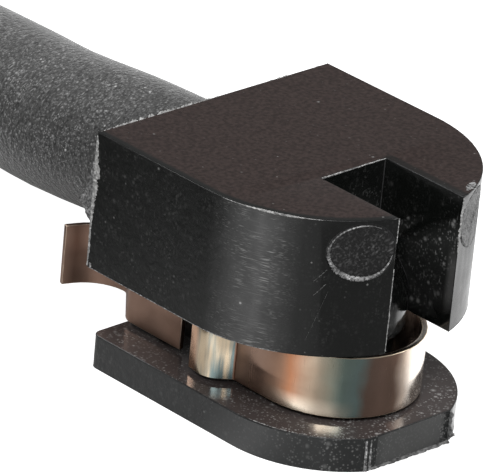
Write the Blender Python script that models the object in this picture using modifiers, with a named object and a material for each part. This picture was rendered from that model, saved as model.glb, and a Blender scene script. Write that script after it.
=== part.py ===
"""Brake pad wear sensor: a moulded head with a spring clip, a two core lead and a two pin plug.

Metres, +Z up. The head stands on its flange's underside at z = 0, centred on the origin, with
its nose along -Y. The lead leaves the head along +Y and lies on the same surface in a coil.
"""

import math

import bmesh
import bpy
from mathutils import Matrix, Vector

MM = 0.001

# Head moulding: a block with a slot in its nose, on a neck, on a flange
BLOCK_WIDTH = 11.0 * MM
BLOCK_LENGTH = 10.95 * MM
BLOCK_HEIGHT = 5.1 * MM
BLOCK_EDGE = 0.14 * MM
SLOT_WIDTH = 3.06 * MM
SLOT_DEPTH = 4.0 * MM
GROOVE_HEIGHT = 3.05 * MM
NECK_WIDTH = 3.8 * MM
NECK_NOSE_SETBACK = 2.01 * MM
NECK_BACK_SETBACK = 0.1 * MM
FLANGE_WIDTH = 9.0 * MM
FLANGE_THICKNESS = 1.27 * MM
FLANGE_BACK_REACH = 0.52 * MM
FLANGE_NOSE_SETBACK = 0.1 * MM
FLANGE_CORNER = 0.35 * MM
FLANGE_EDGE = 0.11 * MM
GATE_WIDTH = 3.9 * MM

# Rounded post of the neck that stands up into the slot: narrow at its top, full at its foot
POST_HEIGHT = 2.7 * MM
POST_TOP_RADIUS = 1.68 * MM
POST_CROWN = 0.4 * MM
POST_RADIUS = 2.26 * MM
POST_SWELL = 1.6 * MM
POST_DROP = 0.86 * MM
POST_FOOT = 0.55 * MM
POST_TURN = 2.0

# Round mark of a mould pin on the nose of each prong
MARK_DIAMETER = 2.11 * MM
MARK_OFFSET = 2.62 * MM
MARK_DROP = 1.18 * MM
MARK_DEPTH = 0.05 * MM

# Spring clip: one bent strip round the neck, with a tongue lanced out of each leg
CLIP_THICKNESS = 0.2 * MM
CLIP_HEIGHT = 2.3 * MM
CLIP_SEAT_GAP = 0.15 * MM
CLIP_NOSE_GAP = 0.95 * MM
CLIP_LEG = 7.146 * MM
CLIP_BEND_RADIUS = 0.6 * MM
CLIP_BEND = 43.0
CLIP_INWARD_RUN = 1.8 * MM
CLIP_WAIST_RADIUS = 0.5 * MM
CLIP_WAIST_BEND = 48.0
CLIP_FLARE_RADIUS = 1.75 * MM
CLIP_FLARE_BEND = 65.0
CLIP_TAIL = 0.45 * MM
CLIP_BRIDGE = 0.45 * MM
TONGUE_START = 1.84 * MM
TONGUE_ROOT = 0.3 * MM
WINDOW_LENGTH = 2.78 * MM
TONGUE_KICK = 51.0
TONGUE_KICK_RADIUS = 0.12 * MM
TONGUE_RAMP = 0.5 * MM
TONGUE_CURL_RADIUS = 0.75 * MM
TONGUE_CURL = 60.0
TONGUE_TIP = 0.55 * MM
LANCE_GAP = 0.06 * MM

# Lead and its two cores
LEAD_DIAMETER = 5.3 * MM
LEAD_RISE = 1.8 * MM
SOCKET_DEPTH = 1.6 * MM
CORE_PITCH = 2.4 * MM
CORE_DIAMETER = 1.5 * MM
CONDUCTOR_DIAMETER = 0.7 * MM
CORE_STRIP = 0.65 * MM
CORE_IN_HEAD = 1.6 * MM
FIT = 0.05 * MM

# Sensing wire, crimped to the two conductors and bent round behind the slot
LOOP_WIRE = 0.5 * MM
LOOP_LEG = 0.9 * MM
LOOP_RISE = 1.2 * MM
CRIMP_LENGTH = 1.2 * MM
CRIMP_WALL = 0.2 * MM

# Coil that the rest of the lead is wound into: two turns inward, then out again on top
COIL_RADIUS = 32.6 * MM
COIL_FORWARD = 34.0 * MM
TURN_PITCH = LEAD_DIAMETER + FIT
INWARD_TURNS = 2.0
CLIMB_TURNS = 0.25
OUTWARD_TURNS = 1.25
TUBE_PAST_COIL_START = 60.0
COIL_GAP = 0.3 * MM
PLUG_SETBACK = 28.0 * MM

# Plug: housing with an open hood, rear cap, seal, terminals and their lock
PLUG_WIDTH = 11.0 * MM
PLUG_HEIGHT = 10.0 * MM
PLUG_CORNER = 1.6 * MM
PLUG_WALL = 1.2 * MM
HOUSING_LENGTH = 19.5 * MM
HOOD_DEPTH = 9.0 * MM
SEAL_POCKET_DEPTH = 5.5 * MM
COLLAR_LENGTH = 2.0 * MM
COLLAR_WALL = 1.3 * MM
CAP_THICKNESS = 2.5 * MM
SEAL_LENGTH = 5.0 * MM
SEAL_RIB = 0.25 * MM
SEAL_RIBS = 3
TERMINAL_PITCH = 3.2 * MM
PIN_DIAMETER = 1.5 * MM
PIN_REACH = 6.5 * MM
BARREL_DIAMETER = 2.0 * MM
BARREL_LENGTH = 2.5 * MM
LOCK_THICKNESS = 1.5 * MM
LATCH_WIDTH = 4.0 * MM
LATCH_LENGTH = 3.0 * MM
LATCH_HEIGHT = 1.1 * MM
GUIDE_RIB = 0.8 * MM
GUIDE_LENGTH = 12.0 * MM

# Places that follow from the sizes
BLOCK_BOTTOM = FLANGE_THICKNESS + GROOVE_HEIGHT
BLOCK_TOP = BLOCK_BOTTOM + BLOCK_HEIGHT
NECK_RADIUS = NECK_WIDTH / 2
CLIP_RADIUS = NECK_RADIUS + CLIP_NOSE_GAP + CLIP_THICKNESS / 2
LEAD_RADIUS = LEAD_DIAMETER / 2
LEAD_HEIGHT = BLOCK_BOTTOM + LEAD_RISE


def ramp(t):
    """Goes smoothly from 0 to 1."""
    return 0.5 - 0.5 * math.cos(math.pi * min(1.0, max(0.0, t)))


def arc(centre, radius, start, end, steps):
    """Points on a circle from one angle to another, in degrees."""
    angles = [math.radians(start + (end - start) * i / steps) for i in range(steps + 1)]
    return [(centre[0] + radius * math.cos(a), centre[1] + radius * math.sin(a)) for a in angles]


def walk(start, heading, moves, step=9.0):
    """The centre line of a bent strip: each move is a straight run, or a bend (radius, degrees)."""
    x, y = start
    path = [(x, y)]
    for move in moves:
        if not isinstance(move, tuple):
            x += move * math.cos(math.radians(heading))
            y += move * math.sin(math.radians(heading))
            path.append((x, y))
            continue
        radius, turn = move
        side = math.copysign(1.0, turn)
        first = heading - 90.0 * side
        centre = (x - radius * math.cos(math.radians(first)), y - radius * math.sin(math.radians(first)))
        bend = arc(centre, radius, first, first + turn, max(2, round(abs(turn) / step)))
        path += bend[1:]
        x, y = path[-1]
        heading += turn
    return path


def strip_outline(path, thickness):
    """The closed outline of a strip of even thickness along a path."""
    points = [Vector(p) for p in path]
    sides = ([], [])
    for i, point in enumerate(points):
        before = (point - points[i - 1]).normalized() if i else None
        after = (points[i + 1] - point).normalized() if i + 1 < len(points) else None
        along = ((before or after) + (after or before)).normalized()
        normal = Vector((-along.y, along.x))
        stretch = 1.0 / max(0.5, along.dot(after or before))
        offset = normal * (thickness / 2 * stretch)
        sides[0].append(tuple(point + offset))
        sides[1].append(tuple(point - offset))
    return sides[0] + sides[1][::-1]


def rounded_rectangle(width, height, radius, steps=5):
    """A rectangle about the origin with round corners."""
    x, y = width / 2 - radius, height / 2 - radius
    corners = [((x, y), 0), ((-x, y), 90), ((-x, -y), 180), ((x, -y), 270)]
    return [p for centre, turn in corners for p in arc(centre, radius, turn, turn + 90, steps)]


def new_collection(name):
    made = bpy.data.collections.new(name)
    bpy.context.scene.collection.children.link(made)
    return made


def new_material(name, color, roughness, metallic=0.0):
    made = bpy.data.materials.new(name)
    made.use_nodes = True
    shader = made.node_tree.nodes["Principled BSDF"]
    shader.inputs["Base Color"].default_value = (*color, 1.0)
    shader.inputs["Roughness"].default_value = roughness
    shader.inputs["Metallic"].default_value = metallic
    return made


for old in list(bpy.data.objects):
    bpy.data.objects.remove(old, do_unlink=True)

sensor = new_collection("brake_pad_wear_sensor")
cutters = new_collection("cutters")


def add_part(obj, material, parent=None):
    """Puts a finished sub-part into the sensor with its own material."""
    sensor.objects.link(obj)
    obj.data.materials.append(material)
    obj.parent = parent
    return obj


def add_tool(obj, parent=None):
    """Puts a shape that only cuts or joins into the cutters' collection."""
    cutters.objects.link(obj)
    obj.display_type = "WIRE"
    obj.hide_render = True
    obj.parent = parent
    return obj


def mesh_of_curve(curve_obj):
    """Turns a curve object into a welded mesh object of the same name and place."""
    scene_objects = bpy.context.scene.collection.objects
    scene_objects.link(curve_obj)
    bpy.context.view_layer.update()
    evaluated = curve_obj.evaluated_get(bpy.context.evaluated_depsgraph_get())
    mesh = bpy.data.meshes.new_from_object(evaluated)
    place = curve_obj.matrix_world.copy()
    name = curve_obj.name
    bpy.data.objects.remove(curve_obj, do_unlink=True)
    shape = bmesh.new()
    shape.from_mesh(mesh)
    bmesh.ops.remove_doubles(shape, verts=shape.verts, dist=0.0005 * MM)
    bmesh.ops.recalc_face_normals(shape, faces=shape.faces)
    shape.transform(place)
    shape.to_mesh(mesh)
    shape.free()
    return bpy.data.objects.new(name, mesh)


def plate(name, outline, bottom, top):
    """A flat outline raised from bottom to top."""
    curve = bpy.data.curves.new(name, "CURVE")
    curve.dimensions = "2D"
    curve.fill_mode = "BOTH"
    curve.extrude = (top - bottom) / 2 / MM
    spline = curve.splines.new("POLY")
    spline.points.add(len(outline) - 1)
    for point, (x, y) in zip(spline.points, outline):
        point.co = (x / MM, y / MM, 0.0, 1.0)
    spline.use_cyclic_u = True
    obj = bpy.data.objects.new(name, curve)
    obj.scale = (MM, MM, MM)
    obj.location.z = (bottom + top) / 2
    return mesh_of_curve(obj)


def tube_curve(name, points, radius, resolution):
    """A round rod or cord along points, as a curve object with closed ends."""
    curve = bpy.data.curves.new(name, "CURVE")
    curve.dimensions = "3D"
    curve.bevel_depth = radius
    curve.bevel_resolution = resolution
    curve.use_fill_caps = True
    spline = curve.splines.new("POLY")
    spline.points.add(len(points) - 1)
    for point, place in zip(spline.points, points):
        point.co = (*place, 1.0)
    return bpy.data.objects.new(name, curve)


def rod(name, radius, start, end, sides=24):
    """A plain cylinder between two points."""
    start, end = Vector(start), Vector(end)
    axis = end - start
    turn = axis.to_track_quat("Z", "Y").to_matrix().to_4x4()
    shape = bmesh.new()
    bmesh.ops.create_cone(
        shape,
        cap_ends=True,
        segments=sides,
        radius1=radius,
        radius2=radius,
        depth=axis.length,
        matrix=Matrix.Translation((start + end) / 2) @ turn,
    )
    mesh = bpy.data.meshes.new(name)
    shape.to_mesh(mesh)
    shape.free()
    return bpy.data.objects.new(name, mesh)


def box(name, low, high):
    """A box between two corners."""
    low, high = Vector(low), Vector(high)
    shape = bmesh.new()
    size = Matrix.Diagonal((*(high - low), 1.0))
    bmesh.ops.create_cube(shape, size=1.0, matrix=Matrix.Translation((low + high) / 2) @ size)
    mesh = bpy.data.meshes.new(name)
    shape.to_mesh(mesh)
    shape.free()
    return bpy.data.objects.new(name, mesh)


def turned(name, profile, closed=False, steps=24):
    """A profile of (radius, height) points turned about the object's Z axis."""
    mesh = bpy.data.meshes.new(name)
    edges = [(i, i + 1) for i in range(len(profile) - 1)]
    if closed:
        edges.append((len(profile) - 1, 0))
    mesh.from_pydata([(r, 0.0, z) for r, z in profile], edges, [])
    obj = bpy.data.objects.new(name, mesh)
    screw = obj.modifiers.new("turn", "SCREW")
    screw.steps = steps
    screw.render_steps = steps
    screw.use_merge_vertices = True
    screw.merge_threshold = 0.0005 * MM
    return obj


def round_edges(obj, width, segments=2):
    """Rounds the sharp edges of a shape."""
    bevel = obj.modifiers.new("round edges", "BEVEL")
    bevel.width = width
    bevel.segments = segments
    bevel.limit_method = "ANGLE"
    bevel.angle_limit = math.radians(50.0)
    return obj


def combine(obj, tool, operation):
    """Joins a tool to a shape, or cuts it out."""
    modifier = obj.modifiers.new(tool.name, "BOOLEAN")
    modifier.operation = operation
    modifier.solver = "EXACT"
    modifier.object = tool


def smooth_sides(obj, angle=35.0):
    """Shades a round piece smooth but keeps its corners sharp."""
    obj.data.shade_smooth()
    obj.data.set_sharp_from_angle(angle=math.radians(angle))
    return obj


def ring_profile(inner, outer, bottom, top):
    """The section of a plain sleeve."""
    return [(outer, top), (outer, bottom), (inner, bottom), (inner, top)]


def along_y(obj, x, y, z, parent=None):
    """Lays a turned piece with its own Z axis along -Y, from its origin at a point."""
    obj.location = (x, y, z)
    obj.rotation_euler = (math.radians(90.0), 0.0, 0.0)
    obj.parent = parent
    return obj


# Spring clip's centre line, measured from the neck's centre
clip_half = walk(
    (0.0, -CLIP_RADIUS),
    0.0,
    [
        (CLIP_RADIUS, 90.0),
        CLIP_LEG,
        (CLIP_BEND_RADIUS, CLIP_BEND),
        CLIP_INWARD_RUN,
        (CLIP_WAIST_RADIUS, -CLIP_WAIST_BEND),
        (CLIP_FLARE_RADIUS, -CLIP_FLARE_BEND),
        CLIP_TAIL,
    ],
)
tongue_half = walk(
    (CLIP_RADIUS, TONGUE_START - TONGUE_ROOT),
    90.0,
    [
        TONGUE_ROOT,
        (TONGUE_KICK_RADIUS, -TONGUE_KICK),
        TONGUE_RAMP,
        (TONGUE_CURL_RADIUS, TONGUE_CURL),
        TONGUE_TIP,
    ],
)

# The origin is midway between the flange's nose and the clip's tail
neck_from_back = BLOCK_LENGTH - NECK_NOSE_SETBACK - NECK_RADIUS
clip_reach = max(y for _, y in strip_outline(clip_half, CLIP_THICKNESS)) - neck_from_back
BACK_Y = (BLOCK_LENGTH - FLANGE_NOSE_SETBACK - clip_reach) / 2
NOSE_Y = BACK_Y - BLOCK_LENGTH
NECK_Y = BACK_Y - neck_from_back
SLOT_Y = NOSE_Y + SLOT_DEPTH
SOCKET_Y = BACK_Y - SOCKET_DEPTH

black_plastic = new_material("black_moulding", (0.016, 0.014, 0.014), 0.32)
copper_strip = new_material("copper_alloy_strip", (0.62, 0.40, 0.29), 0.22, 1.0)
lead_rubber = new_material("lead_jacket", (0.030, 0.031, 0.033), 0.6)
core_colors = {
    "left": new_material("core_insulation_left", (0.35, 0.30, 0.22), 0.5),
    "right": new_material("core_insulation_right", (0.12, 0.06, 0.04), 0.5),
}
bare_copper = new_material("bare_copper", (0.72, 0.38, 0.24), 0.35, 1.0)
loop_copper = new_material("sensing_wire", (0.55, 0.22, 0.10), 0.3, 1.0)
crimp_brass = new_material("tinned_brass", (0.62, 0.58, 0.50), 0.3, 1.0)
plug_plastic = new_material("plug_housing_plastic", (0.018, 0.018, 0.019), 0.42)
cap_plastic = new_material("plug_cap_plastic", (0.022, 0.022, 0.023), 0.45)
seal_silicone = new_material("plug_seal_silicone", (0.42, 0.12, 0.05), 0.55)
lock_plastic = new_material("terminal_lock_plastic", (0.30, 0.31, 0.32), 0.45)


# Head moulding
nose_radius = BLOCK_WIDTH / 2
block_outline = arc((0.0, NOSE_Y + nose_radius), nose_radius, 180.0, 360.0, 44)
block_outline += [(nose_radius, BACK_Y), (-nose_radius, BACK_Y)]
head = plate("head_moulding", block_outline, BLOCK_BOTTOM, BLOCK_TOP)
round_edges(head, BLOCK_EDGE)

slot_tool = add_tool(
    box(
        "slot_cutter",
        (-SLOT_WIDTH / 2, NOSE_Y - BLOCK_LENGTH, BLOCK_BOTTOM - BLOCK_HEIGHT),
        (SLOT_WIDTH / 2, SLOT_Y, BLOCK_TOP + BLOCK_HEIGHT),
    )
)
combine(head, slot_tool, "DIFFERENCE")

neck_outline = arc((0.0, NECK_Y), NECK_RADIUS, 180.0, 360.0, 24)
neck_back = BACK_Y - NECK_BACK_SETBACK
neck_outline += [(NECK_RADIUS, neck_back), (-NECK_RADIUS, neck_back)]
neck_root = FLANGE_THICKNESS / 3
neck_tool = add_tool(
    plate("neck", neck_outline, FLANGE_THICKNESS - neck_root, BLOCK_BOTTOM + neck_root)
)
combine(head, neck_tool, "UNION")

# The post: a low crown, a swelling side, and a foot that rounds under to the neck
post_top = BLOCK_BOTTOM + POST_HEIGHT
post_foot = BLOCK_BOTTOM - POST_DROP
swell_top = post_top - POST_CROWN
post_profile = []
for i in range(7):
    t = math.radians(90.0 * i / 6)
    post_profile.append((POST_TOP_RADIUS * math.sin(t), swell_top + POST_CROWN * math.cos(t)))
for i in range(1, 7):
    swell = (POST_RADIUS - POST_TOP_RADIUS) * ramp(i / 6)
    post_profile.append((POST_TOP_RADIUS + swell, swell_top - POST_SWELL * i / 6))
for i in range(6):
    t = math.radians(90.0 * i / 5)
    tucked = POST_FOOT * (1.0 - math.cos(t))
    post_profile.append((POST_RADIUS - tucked, post_foot + POST_FOOT * (1.0 - math.sin(t))))
post_tool = turned("slot_post", post_profile + [(0.0, post_foot)], steps=40)
post_tool.location = (0.0, NECK_Y, 0.0)
post_tool.rotation_euler.z = math.radians(POST_TURN)  # keeps its facets off the neck's
add_tool(post_tool)
combine(head, post_tool, "UNION")

flange_radius = FLANGE_WIDTH / 2
gate_y = NOSE_Y + FLANGE_NOSE_SETBACK
flange_y = gate_y + math.sqrt(flange_radius**2 - (GATE_WIDTH / 2) ** 2)
gate_angle = math.degrees(math.asin(GATE_WIDTH / 2 / flange_radius))
flange_back = BACK_Y + FLANGE_BACK_REACH
corner_x, corner_y = flange_radius - FLANGE_CORNER, flange_back - FLANGE_CORNER
flange_outline = arc((0.0, flange_y), flange_radius, 180.0, 270.0 - gate_angle, 16)
flange_outline += arc((0.0, flange_y), flange_radius, 270.0 + gate_angle, 360.0, 16)
flange_outline += arc((corner_x, corner_y), FLANGE_CORNER, 0.0, 90.0, 5)
flange_outline += arc((-corner_x, corner_y), FLANGE_CORNER, 90.0, 180.0, 5)
flange_tool = add_tool(plate("flange", flange_outline, 0.0, FLANGE_THICKNESS))
round_edges(flange_tool, FLANGE_EDGE)
combine(head, flange_tool, "UNION")

# Each mark is where a round mould pin met the nose, so its floor follows the nose's curve
mark_z = BLOCK_TOP - MARK_DROP
for side, sign in (("left", -1.0), ("right", 1.0)):
    mark_x = sign * MARK_OFFSET
    mark_tool = rod(
        "mark_" + side,
        MARK_DIAMETER / 2,
        (mark_x, NOSE_Y - MARK_DIAMETER, mark_z),
        (mark_x, NOSE_Y + nose_radius, mark_z),
        32,
    )
    mark_floor = rod(
        "mark_floor_" + side,
        nose_radius - MARK_DEPTH,
        (0.0, NOSE_Y + nose_radius, BLOCK_BOTTOM - BLOCK_HEIGHT),
        (0.0, NOSE_Y + nose_radius, BLOCK_TOP + BLOCK_HEIGHT),
        96,
    )
    combine(mark_tool, add_tool(mark_floor), "DIFFERENCE")
    combine(head, add_tool(mark_tool), "DIFFERENCE")

socket_tool = add_tool(
    rod(
        "lead_socket",
        LEAD_RADIUS + FIT,
        (0.0, SOCKET_Y, LEAD_HEIGHT),
        (0.0, BACK_Y + SOCKET_DEPTH, LEAD_HEIGHT),
        40,
    )
)
combine(head, socket_tool, "DIFFERENCE")

insulation_end = SOCKET_Y - FIT - CORE_IN_HEAD
conductor_end = insulation_end - CORE_STRIP
crimp_back = insulation_end - 3 * FIT
crimp_front = crimp_back - CRIMP_LENGTH
loop_start = conductor_end - 2 * FIT
loop_radius = CORE_PITCH / 2
loop_centre_y = loop_start - LOOP_LEG


def loop_points(leg_start):
    """The sensing wire's centre line: two legs and a rising half circle towards the slot."""
    steps = 16
    bend = []
    for i in range(steps + 1):
        a = math.pi * i / steps
        height = LEAD_HEIGHT + LOOP_RISE * math.sin(a)
        bend.append((loop_radius * math.cos(a), loop_centre_y - loop_radius * math.sin(a), height))
    start = (loop_radius, leg_start, LEAD_HEIGHT)
    end = (-loop_radius, leg_start, LEAD_HEIGHT)
    return [start, *bend, end]


for side, sign in (("left", -1.0), ("right", 1.0)):
    x = sign * CORE_PITCH / 2
    channel = rod(
        "core_channel_" + side,
        CORE_DIAMETER / 2 + FIT,
        (x, crimp_front - 2 * FIT, LEAD_HEIGHT),
        (x, SOCKET_Y + SOCKET_DEPTH / 2, LEAD_HEIGHT),
    )
    combine(head, add_tool(channel), "DIFFERENCE")
loop_channel = mesh_of_curve(
    tube_curve("loop_channel", loop_points(crimp_front + 2 * FIT), LOOP_WIRE / 2 + FIT, 4)
)
combine(head, add_tool(loop_channel), "DIFFERENCE")
add_part(head, black_plastic)


# Spring clip
def both_sides(half):
    """A path from the left tail round the nose to the right tail."""
    left = [(-x, y) for x, y in half[:0:-1]]
    return [(x, y + NECK_Y) for x, y in left + half]


clip_bottom = FLANGE_THICKNESS + CLIP_SEAT_GAP
clip_top = clip_bottom + CLIP_HEIGHT
lance_height = clip_top - CLIP_BRIDGE
clip = plate("spring_clip", strip_outline(both_sides(clip_half), CLIP_THICKNESS), clip_bottom, clip_top)
for side, sign in (("left", -1.0), ("right", 1.0)):
    window_x = sign * CLIP_RADIUS
    window = box(
        "tongue_window_" + side,
        (window_x - 2 * CLIP_THICKNESS, NECK_Y + TONGUE_START, clip_bottom - CLIP_BRIDGE),
        (window_x + 2 * CLIP_THICKNESS, NECK_Y + TONGUE_START + WINDOW_LENGTH, lance_height),
    )
    combine(clip, add_tool(window), "DIFFERENCE")
    tongue_path = [(sign * x, y + NECK_Y) for x, y in tongue_half]
    tongue = plate(
        "tongue_" + side,
        strip_outline(tongue_path, CLIP_THICKNESS - LANCE_GAP / 10),
        clip_bottom,
        lance_height - LANCE_GAP,
    )
    combine(clip, add_tool(tongue), "UNION")
add_part(clip, copper_strip)


# Cores, crimps and the sensing wire inside the head
for side, sign in (("left", -1.0), ("right", 1.0)):
    x = sign * CORE_PITCH / 2
    bore = CONDUCTOR_DIAMETER / 2 + FIT
    insulation = turned(
        "head_insulation_" + side, ring_profile(bore, CORE_DIAMETER / 2, 0.0, CORE_IN_HEAD), closed=True
    )
    along_y(insulation, x, SOCKET_Y - FIT, LEAD_HEIGHT)
    add_part(smooth_sides(insulation), core_colors[side])
    strand = rod(
        "head_conductor_" + side,
        CONDUCTOR_DIAMETER / 2,
        (x, SOCKET_Y - FIT, LEAD_HEIGHT),
        (x, conductor_end, LEAD_HEIGHT),
        16,
    )
    add_part(smooth_sides(strand), bare_copper)
    crimp = turned(
        "loop_crimp_" + side, ring_profile(bore, bore + CRIMP_WALL, 0.0, CRIMP_LENGTH), closed=True, steps=16
    )
    along_y(crimp, x, crimp_back, LEAD_HEIGHT)
    add_part(smooth_sides(crimp), crimp_brass)
sensing_loop = tube_curve("sensing_loop", loop_points(loop_start), LOOP_WIRE / 2, 2)
add_part(sensing_loop, loop_copper)


# Lead: down to the surface, then into the coil
def smooth_route(points, spacing):
    """Even steps along a smooth curve through chosen points."""
    knots = [Vector(p) for p in points]
    knots = [2 * knots[0] - knots[1], *knots, 2 * knots[-1] - knots[-2]]
    fine = []
    for a, b, c, d in zip(knots, knots[1:], knots[2:], knots[3:]):
        for i in range(12):
            t = i / 12
            fine.append(
                0.5 * (2 * b + (c - a) * t + (2 * a - 5 * b + 4 * c - d) * t**2 + (3 * b - a - 3 * c + d) * t**3)
            )
    fine.append(knots[-2])
    length = sum((q - p).length for p, q in zip(fine, fine[1:]))
    count = max(2, round(length / spacing))
    route, walked, target = [fine[0]], 0.0, length / count
    for p, q in zip(fine, fine[1:]):
        run = (q - p).length
        while len(route) < count and walked + run >= target:
            route.append(p.lerp(q, (target - walked) / run))
            target += length / count
        walked += run
    return route + [fine[-1]]


coil_x, coil_y = -COIL_RADIUS, COIL_FORWARD
coil_floor = LEAD_RADIUS + FIT


def coil_point(turns):
    """The lead's centre after some turns of the coil, counted from where it meets the coil."""
    angle = 2 * math.pi * turns
    inward = min(turns, INWARD_TURNS)
    outward = max(0.0, turns - INWARD_TURNS - CLIMB_TURNS)
    radius = COIL_RADIUS - TURN_PITCH * (inward - outward)
    height = coil_floor + TURN_PITCH * ramp((turns - INWARD_TURNS) / CLIMB_TURNS)
    return (coil_x + radius * math.cos(angle), coil_y + radius * math.sin(angle), height)


LEAD_ROUTE = [
    (0.0, 7.5 * MM, 5.98 * MM),
    (0.16 * MM, 11.0 * MM, 5.6 * MM),
    (0.72 * MM, 15.0 * MM, 5.24 * MM),
    (1.15 * MM, 19.5 * MM, 4.8 * MM),
    (1.1 * MM, 24.5 * MM, 4.03 * MM),
    (0.42 * MM, 29.5 * MM, 3.15 * MM),
]
first_turn = [coil_point(a / 360.0) for a in range(0, int(TUBE_PAST_COIL_START) + 1, 15)]
lead_exit = (0.0, BACK_Y + LEAD_RADIUS / 2, LEAD_HEIGHT)
lead_route = smooth_route([lead_exit, *LEAD_ROUTE, *first_turn], LEAD_DIAMETER)
lead_route.insert(0, Vector((0.0, SOCKET_Y + FIT, LEAD_HEIGHT)))
lead_tube = tube_curve("lead_tube", lead_route, LEAD_RADIUS, 4)
add_part(lead_tube, lead_rubber)

coil_shift = TURN_PITCH / 4
coil_outer = COIL_RADIUS - LEAD_RADIUS + TURN_PITCH / 4 - 2 * COIL_GAP - coil_shift / 2
coil_inner = COIL_RADIUS - INWARD_TURNS * TURN_PITCH - LEAD_RADIUS
coil = turned(
    "lead_coil",
    ring_profile(coil_inner, coil_outer, 0.0, LEAD_DIAMETER + TURN_PITCH),
    closed=True,
    steps=72,
)
coil.location = (coil_x - coil_shift, coil_y - coil_shift, 0.0)
add_part(smooth_sides(coil), lead_rubber)

all_turns = INWARD_TURNS + CLIMB_TURNS + OUTWARD_TURNS
leave_x, leave_y, leave_z = coil_point(all_turns)
PLUG_Z = PLUG_HEIGHT / 2
plug_y = leave_y - PLUG_SETBACK
plug_in = COLLAR_LENGTH + CAP_THICKNESS - 6 * FIT
TAIL_ROUTE = [
    (leave_x, leave_y - 20.0 * MM, 6.15 * MM),
    (leave_x, leave_y - 22.5 * MM, 5.55 * MM),
    (leave_x, leave_y - 25.5 * MM, 5.08 * MM),
]
tail = [*TAIL_ROUTE, (leave_x, plug_y, PLUG_Z), (leave_x, plug_y - plug_in, PLUG_Z)]
lead_tail = tube_curve("lead_tail", smooth_route(tail, 0.6 * LEAD_DIAMETER), LEAD_RADIUS, 4)
add_part(lead_tail, lead_rubber)


# Plug, built along its own Z axis from the collar's back face to the hood's rim
plug_place = bpy.data.objects.new("plug_place", None)
plug_place.location = (leave_x, plug_y, PLUG_Z)
plug_place.rotation_euler = (math.radians(90.0), 0.0, 0.0)
sensor.objects.link(plug_place)

cap_front = COLLAR_LENGTH + CAP_THICKNESS
housing_back = cap_front + FIT
housing_front = housing_back + HOUSING_LENGTH
web_back = housing_back + SEAL_POCKET_DEPTH
web_front = housing_front - HOOD_DEPTH
inner_width = PLUG_WIDTH - 2 * PLUG_WALL
inner_height = PLUG_HEIGHT - 2 * PLUG_WALL
inner_corner = PLUG_CORNER - PLUG_WALL / 2

housing_outline = rounded_rectangle(PLUG_WIDTH, PLUG_HEIGHT, PLUG_CORNER)
housing = plate("plug_housing", housing_outline, housing_back, housing_front)
round_edges(housing, PLUG_WALL / 6)
latch_tool = box(
    "latch_nose",
    (-LATCH_WIDTH / 2, PLUG_HEIGHT / 2 - PLUG_WALL / 2, web_front),
    (LATCH_WIDTH / 2, PLUG_HEIGHT / 2 + LATCH_HEIGHT, web_front + LATCH_LENGTH),
)
round_edges(latch_tool, LATCH_HEIGHT / 3)
combine(housing, add_tool(latch_tool, plug_place), "UNION")
for side, sign in (("left", -1.0), ("right", 1.0)):
    rib = box(
        "guide_rib_" + side,
        (sign * PLUG_WIDTH / 2 - GUIDE_RIB / 2, -GUIDE_RIB, housing_front - GUIDE_LENGTH - GUIDE_RIB),
        (sign * PLUG_WIDTH / 2 + GUIDE_RIB / 2, GUIDE_RIB, housing_front - GUIDE_RIB),
    )
    round_edges(rib, GUIDE_RIB / 5)
    combine(housing, add_tool(rib, plug_place), "UNION")
hollow_outline = rounded_rectangle(inner_width, inner_height, inner_corner)
hood_tool = plate("hood_hollow", hollow_outline, web_front, housing_front + HOOD_DEPTH)
combine(housing, add_tool(hood_tool, plug_place), "DIFFERENCE")
pocket_tool = plate("seal_pocket", hollow_outline, housing_back - SEAL_POCKET_DEPTH, web_back)
combine(housing, add_tool(pocket_tool, plug_place), "DIFFERENCE")

barrel_back = web_back + 4 * FIT
barrel_front = barrel_back + BARREL_LENGTH
pin_tip = web_front + PIN_REACH
for side, sign in (("left", -1.0), ("right", 1.0)):
    x = sign * TERMINAL_PITCH / 2
    wide = rod("barrel_hole_" + side, BARREL_DIAMETER / 2 + FIT, (x, 0, web_back - FIT), (x, 0, barrel_front + FIT))
    combine(housing, add_tool(wide, plug_place), "DIFFERENCE")
    narrow = rod("pin_hole_" + side, PIN_DIAMETER / 2 + FIT, (x, 0, barrel_back), (x, 0, web_front + FIT))
    combine(housing, add_tool(narrow, plug_place), "DIFFERENCE")
add_part(housing, plug_plastic, plug_place)

# Rear cap: a plate over the seal with a round collar for the lead
cap = plate("plug_rear_cap", housing_outline, COLLAR_LENGTH, cap_front)
round_edges(cap, PLUG_WALL / 6)
collar = rod("cap_collar", LEAD_RADIUS + COLLAR_WALL, (0, 0, 0), (0, 0, COLLAR_LENGTH + CAP_THICKNESS / 2), 40)
round_edges(collar, COLLAR_WALL / 4)
combine(cap, add_tool(collar, plug_place), "UNION")
entry = rod("lead_entry", LEAD_RADIUS + FIT, (0, 0, -COLLAR_LENGTH), (0, 0, cap_front + COLLAR_LENGTH), 40)
combine(cap, add_tool(entry, plug_place), "DIFFERENCE")
add_part(cap, cap_plastic, plug_place)

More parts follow.
